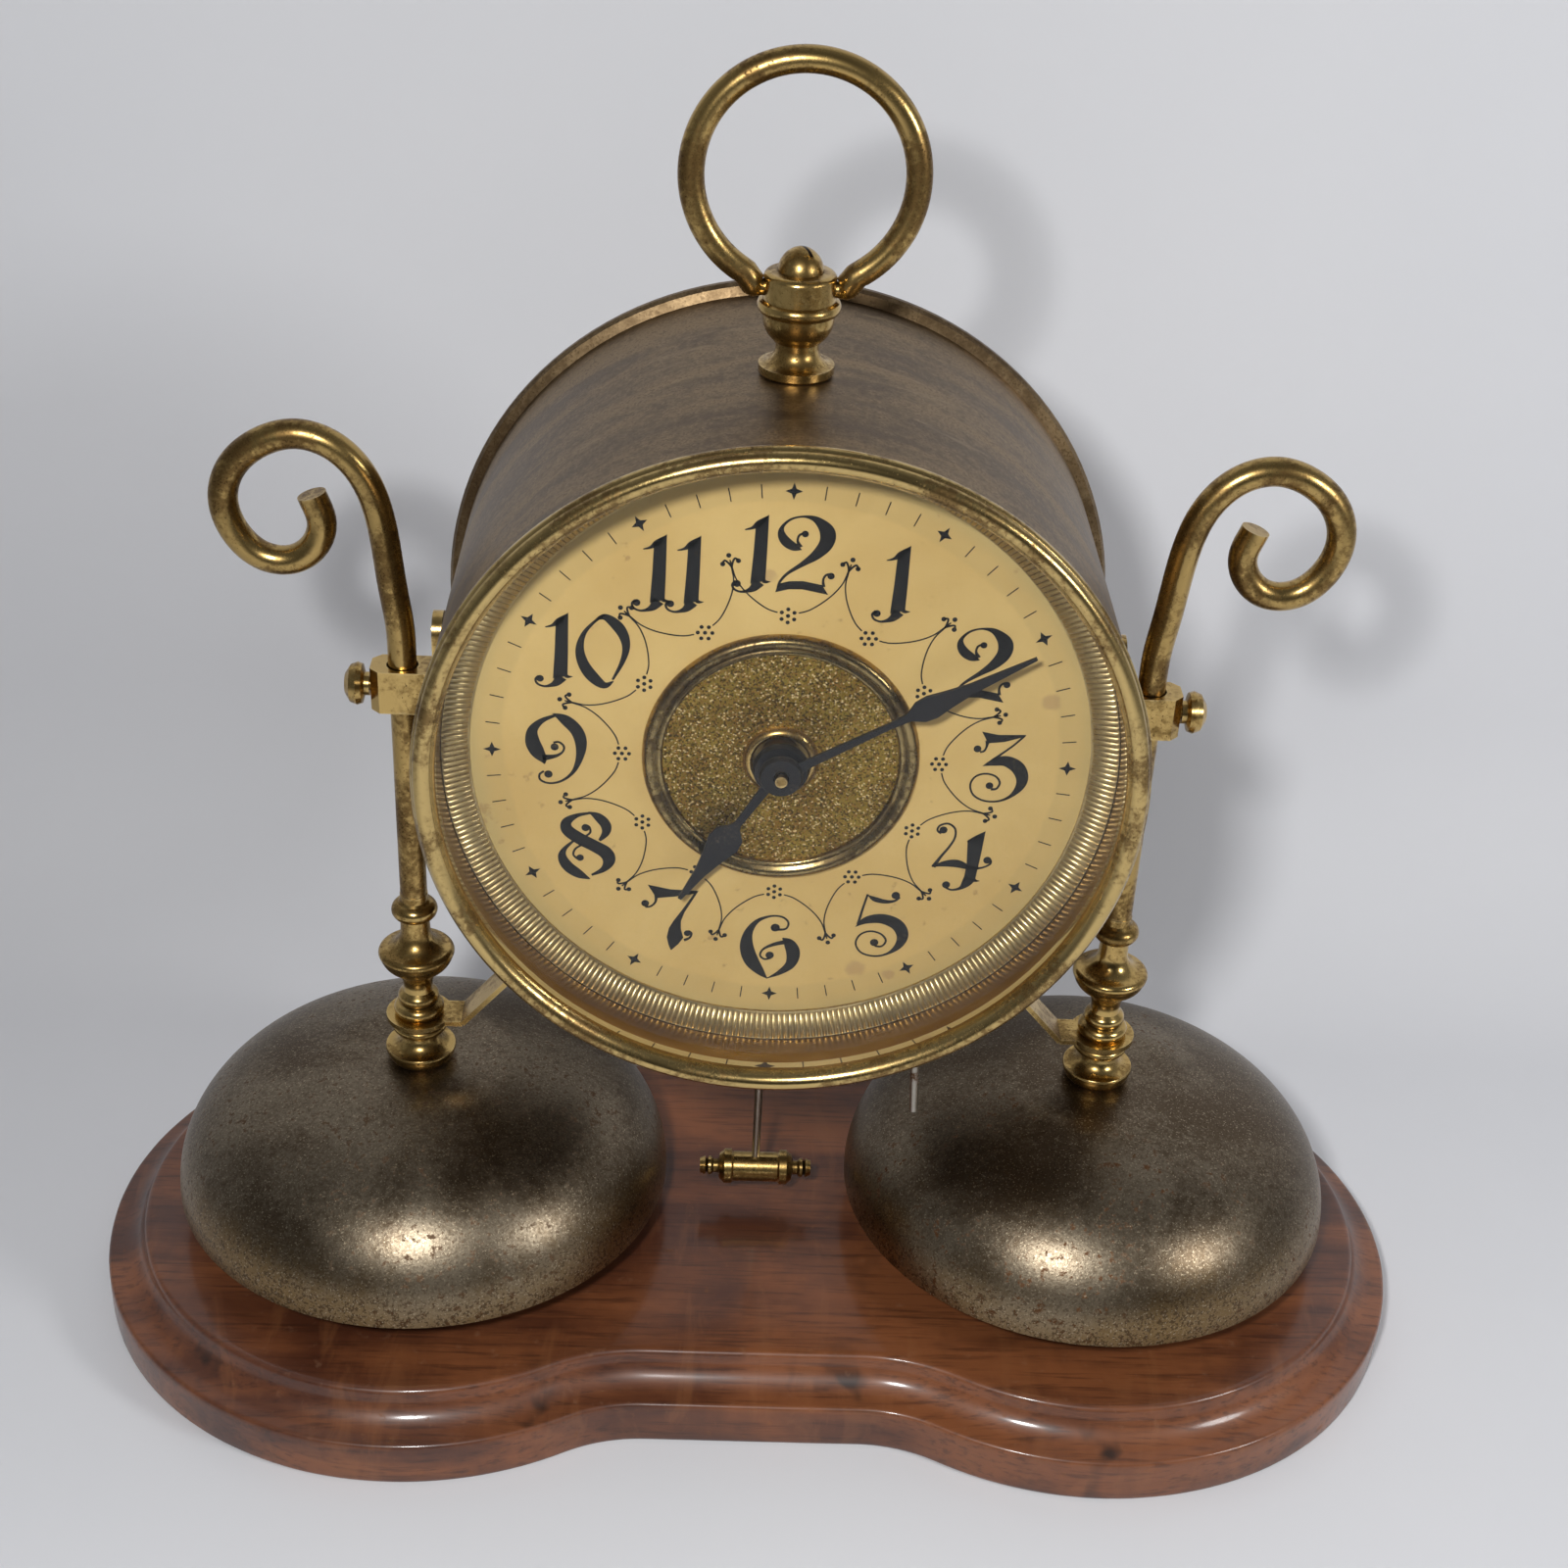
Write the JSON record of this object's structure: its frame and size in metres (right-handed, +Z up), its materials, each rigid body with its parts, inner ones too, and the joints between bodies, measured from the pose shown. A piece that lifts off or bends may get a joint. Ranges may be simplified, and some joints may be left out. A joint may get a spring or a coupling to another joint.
{
  "type": "twin bell alarm clock",
  "caption": "Round brass drum clock hung between two scroll-topped posts over a pair of domed bells on a waisted wooden base, with a ring handle.",
  "frame": {"origin": "centre of the base's underside, on the surface it stands on", "axes": "+Z up, +X along the base from the left bell to the right bell, the dial faces -Y"},
  "size_m": [0.2584, 0.1268, 0.246],
  "materials": {
    "turned_brass": "worn, half polished",
    "drum_brass": "dull brown patina",
    "movement_brass": "satin",
    "gilt_grain": "grained gilt",
    "bell_metal": "tarnished, mottled",
    "steel": "satin",
    "blued_steel": "blue-black",
    "stained_wood": "red-brown stain under gloss varnish",
    "dial_paper": "printed, aged cream",
    "clear_glass": "clear"
  },
  "bodies": {
    "clock": {"base_nuts": "steel", "bell_nuts": "turned_brass", "bell_pillars": "steel", "centre_boss": "turned_brass", "centre_disc": "gilt_grain", "centre_disc_ring": "turned_brass", "dial": "dial_paper", "dial_feet": "steel", "dial_glass": "clear_glass", "dial_plate": "steel", "drum_shell": "drum_brass", "finial_nut": "steel", "front_bezel": "turned_brass", "hairspring": "steel", "handle_finial": "turned_brass", "left_bell": "bell_metal", "left_clamp_block": "turned_brass", "left_post": "turned_brass", "left_scroll": "turned_brass", "left_strap": "turned_brass", "milled_ring": "turned_brass", "motion_stud": "steel", "movement_back_plate": "movement_brass", "movement_front_plate": "movement_brass", "plate_pillars": "movement_brass", "rear_cover": "drum_brass", "right_bell": "bell_metal", "right_clamp_block": "turned_brass", "right_post": "turned_brass", "right_scroll": "turned_brass", "right_strap": "turned_brass", "strap_screws": "turned_brass", "wood_base": "stained_wood"},
    "handle_ring": {"handle_ring": "turned_brass"},
    "left_thumb_screw": {"left_thumb_screw": "turned_brass"},
    "right_thumb_screw": {"right_thumb_screw": "turned_brass"},
    "minute_train": {"centre_arbor": "steel", "cannon_pinion": "movement_brass", "centre_wheel": "movement_brass", "hand_set_knob": "turned_brass", "minute_hand": "blued_steel"},
    "hour_train": {"hour_wheel": "movement_brass", "hour_hand": "blued_steel"},
    "minute_wheel": {"minute_wheel": "movement_brass"},
    "time_barrel": {"time_barrel": "movement_brass", "time_mainspring": "steel"},
    "third_wheel": {"third_wheel": "movement_brass"},
    "escape_wheel": {"escape_wheel": "movement_brass"},
    "pallet_lever": {"pallet_lever": "steel"},
    "balance_wheel": {"balance_wheel": "movement_brass"},
    "time_key": {"time_key": "turned_brass"},
    "alarm_key": {"alarm_key": "turned_brass"},
    "alarm_barrel": {"alarm_barrel": "movement_brass", "alarm_mainspring": "steel"},
    "alarm_escape_wheel": {"alarm_escape_wheel": "movement_brass"},
    "hammer": {"hammer_arbor": "steel", "hammer_rod": "steel", "hammer_head": "turned_brass"},
    "silencing_lever": {"silencing_lever": "steel"},
    "alarm_set_knob": {"alarm_set_knob": "turned_brass"}
  },
  "joints": [
    {"name": "minute_turn", "type": "hinge", "parent": "clock", "child": "minute_train", "pos_m": [0, 0, 0.1379], "axis": [0, 1, 0], "continuous": true},
    {"name": "hour_turn", "type": "hinge", "parent": "clock", "child": "hour_train", "pos_m": [0, 0, 0.1379], "axis": [0, 1, 0], "continuous": true},
    {"name": "minute_wheel_turn", "type": "hinge", "parent": "clock", "child": "minute_wheel", "pos_m": [0, 0, 0.1247], "axis": [0, 1, 0], "continuous": true},
    {"name": "time_barrel_turn", "type": "hinge", "parent": "clock", "child": "time_barrel", "pos_m": [0.02, 0, 0.119], "axis": [0, 1, 0], "continuous": true},
    {"name": "third_wheel_turn", "type": "hinge", "parent": "clock", "child": "third_wheel", "pos_m": [-0.00539, 0, 0.1527], "axis": [0, 1, 0], "continuous": true},
    {"name": "escape_wheel_turn", "type": "hinge", "parent": "clock", "child": "escape_wheel", "pos_m": [0.0073, 0, 0.15732], "axis": [0, 1, 0], "continuous": true},
    {"name": "balance_swing", "type": "hinge", "parent": "clock", "child": "balance_wheel", "pos_m": [0.0253, 0, 0.15732], "axis": [0, 1, 0], "range_deg": [-120, 120]},
    {"name": "pallet_swing", "type": "hinge", "parent": "clock", "child": "pallet_lever", "pos_m": [0.0153, 0, 0.15732], "axis": [0, 1, 0], "range_deg": [-3, 3]},
    {"name": "time_key_turn", "type": "hinge", "parent": "clock", "child": "time_key", "pos_m": [0.02, 0, 0.119], "axis": [0, 1, 0], "continuous": true},
    {"name": "alarm_key_turn", "type": "hinge", "parent": "clock", "child": "alarm_key", "pos_m": [-0.02, 0, 0.119], "axis": [0, 1, 0], "continuous": true},
    {"name": "alarm_barrel_turn", "type": "hinge", "parent": "clock", "child": "alarm_barrel", "pos_m": [-0.02, 0, 0.119], "axis": [0, 1, 0], "continuous": true},
    {"name": "alarm_escape_turn", "type": "hinge", "parent": "clock", "child": "alarm_escape_wheel", "pos_m": [-0.004, 0, 0.1055], "axis": [0, 1, 0], "continuous": true},
    {"name": "alarm_set_turn", "type": "hinge", "parent": "clock", "child": "alarm_set_knob", "pos_m": [-0.02, 0, 0.157], "axis": [0, 1, 0], "continuous": true},
    {"name": "hammer_swing", "type": "hinge", "parent": "clock", "child": "hammer", "pos_m": [0, 0, 0.095], "axis": [0, 1, 0], "range_deg": [-5.2, 5.2]},
    {"name": "silencing_lever_swing", "type": "hinge", "parent": "clock", "child": "silencing_lever", "pos_m": [0.0265, 0, 0.0936], "axis": [0, 1, 0], "range_deg": [-5, 5]},
    {"name": "handle_ring_swing", "type": "hinge", "parent": "clock", "child": "handle_ring", "pos_m": [0, -0.0119, 0.2096], "axis": [1, 0, 0], "range_deg": [-105, 105]},
    {"name": "left_thumb_screw_turn", "type": "hinge", "parent": "clock", "child": "left_thumb_screw", "pos_m": [-0.0658, 0, 0.1315], "axis": [-1, 0, 0], "range_deg": [0, 360]},
    {"name": "right_thumb_screw_turn", "type": "hinge", "parent": "clock", "child": "right_thumb_screw", "pos_m": [0.0658, 0, 0.1315], "axis": [1, 0, 0], "range_deg": [0, 360]}
  ],
  "couplings": [
    {"joint": "hour_turn", "follows": "minute_turn", "ratio": 0.083333},
    {"joint": "minute_wheel_turn", "follows": "minute_turn", "ratio": -0.33333},
    {"joint": "time_barrel_turn", "follows": "minute_turn", "ratio": -0.2},
    {"joint": "third_wheel_turn", "follows": "minute_turn", "ratio": -6},
    {"joint": "escape_wheel_turn", "follows": "minute_turn", "ratio": 30},
    {"joint": "alarm_escape_turn", "follows": "alarm_barrel_turn", "ratio": -4.8}
  ]
}
